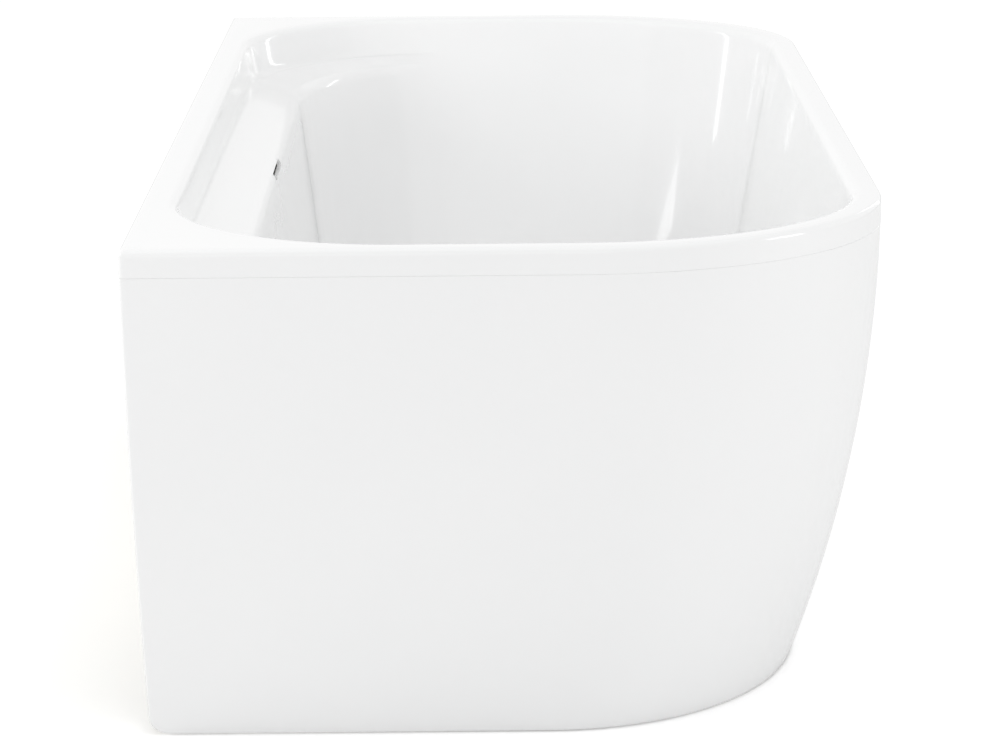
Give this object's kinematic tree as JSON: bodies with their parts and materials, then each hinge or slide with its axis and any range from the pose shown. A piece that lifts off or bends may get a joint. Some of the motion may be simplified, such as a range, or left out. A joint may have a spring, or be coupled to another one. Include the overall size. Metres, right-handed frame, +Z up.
{
  "type": "bathtub",
  "caption": "Back-to-wall acrylic bath with one straight wall side, two round room corners, a one-piece skirt, a slot overflow, a push plug and levelling feet.",
  "frame": {"origin": "middle of the footprint, on the floor that the levelling feet stand on", "axes": "+X along the bath, +Y to the wall, +Z up; -Y is the room side"},
  "size_m": [1.7, 0.8, 0.545],
  "materials": {
    "acrylic": "gloss",
    "adhesive": "matte",
    "timber": "sealed with clear resin",
    "zinc_steel": "galvanised",
    "screw_steel": "zinc plated",
    "spring_steel": "polished",
    "chrome": "polished",
    "pipe_plastic": "satin",
    "hose_plastic": "satin",
    "seal_rubber": "matte",
    "foot_plastic": "matte"
  },
  "bodies": {
    "bath": {"inner_shell": "acrylic", "outer_skirt": "acrylic", "seam_bond": "adhesive", "wall_batten": "timber", "base_board": "timber", "end_block_near": "timber", "end_block_far": "timber", "room_block_near": "timber", "room_block_far": "timber", "leg_bar_near": "zinc_steel", "leg_bar_far": "zinc_steel", "wall_post_near": "zinc_steel", "wall_post_far": "zinc_steel", "centre_foot_plate": "zinc_steel", "end_stay_near": "zinc_steel", "end_stay_far": "zinc_steel", "room_bracket_near": "zinc_steel", "room_bracket_far": "zinc_steel", "board_screws": "screw_steel", "skirt_screws": "screw_steel", "foot_inserts": "screw_steel", "foot_lock_nuts": "screw_steel", "waste_flange": "chrome", "plug_spring": "spring_steel", "plug_guide": "pipe_plastic", "flange_seal": "seal_rubber", "body_seal": "seal_rubber", "waste_body": "pipe_plastic", "overflow_box": "pipe_plastic", "overflow_gasket": "seal_rubber", "overflow_hose": "hose_plastic", "hose_clip_upper": "spring_steel", "hose_clip_lower": "spring_steel", "trap_body": "pipe_plastic", "trap_cleaning_cap": "pipe_plastic", "trap_nut": "pipe_plastic", "trap_washer": "seal_rubber", "trap_outlet_ring": "seal_rubber", "trap_outlet_nut": "pipe_plastic"},
    "plug": {"plug_cap": "chrome", "plug_stem": "chrome", "plug_seal": "seal_rubber"},
    "foot_near_room": {"foot_rod_near_room": "screw_steel", "foot_pad_near_room": "foot_plastic"},
    "foot_near_wall": {"foot_rod_near_wall": "screw_steel", "foot_pad_near_wall": "foot_plastic"},
    "foot_far_room": {"foot_rod_far_room": "screw_steel", "foot_pad_far_room": "foot_plastic"},
    "foot_far_wall": {"foot_rod_far_wall": "screw_steel", "foot_pad_far_wall": "foot_plastic"},
    "foot_centre": {"foot_rod_centre": "screw_steel", "foot_pad_centre": "foot_plastic"}
  },
  "joints": [
    {"name": "plug_press", "type": "slide", "parent": "bath", "child": "plug", "axis": [0, 0, 1], "range_m": [-0.009, 0], "stiffness_N_per_m": 900, "springref_m": 0.006, "deforming": ["plug_spring"]},
    {"name": "foot_near_room_level", "type": "slide", "parent": "bath", "child": "foot_near_room", "axis": [0, 0, 1], "range_m": [-0.018, 0.004]},
    {"name": "foot_near_wall_level", "type": "slide", "parent": "bath", "child": "foot_near_wall", "axis": [0, 0, 1], "range_m": [-0.018, 0.004]},
    {"name": "foot_far_room_level", "type": "slide", "parent": "bath", "child": "foot_far_room", "axis": [0, 0, 1], "range_m": [-0.018, 0.004]},
    {"name": "foot_far_wall_level", "type": "slide", "parent": "bath", "child": "foot_far_wall", "axis": [0, 0, 1], "range_m": [-0.018, 0.004]},
    {"name": "foot_centre_level", "type": "slide", "parent": "bath", "child": "foot_centre", "axis": [0, 0, 1], "range_m": [-0.018, 0.004]}
  ]
}
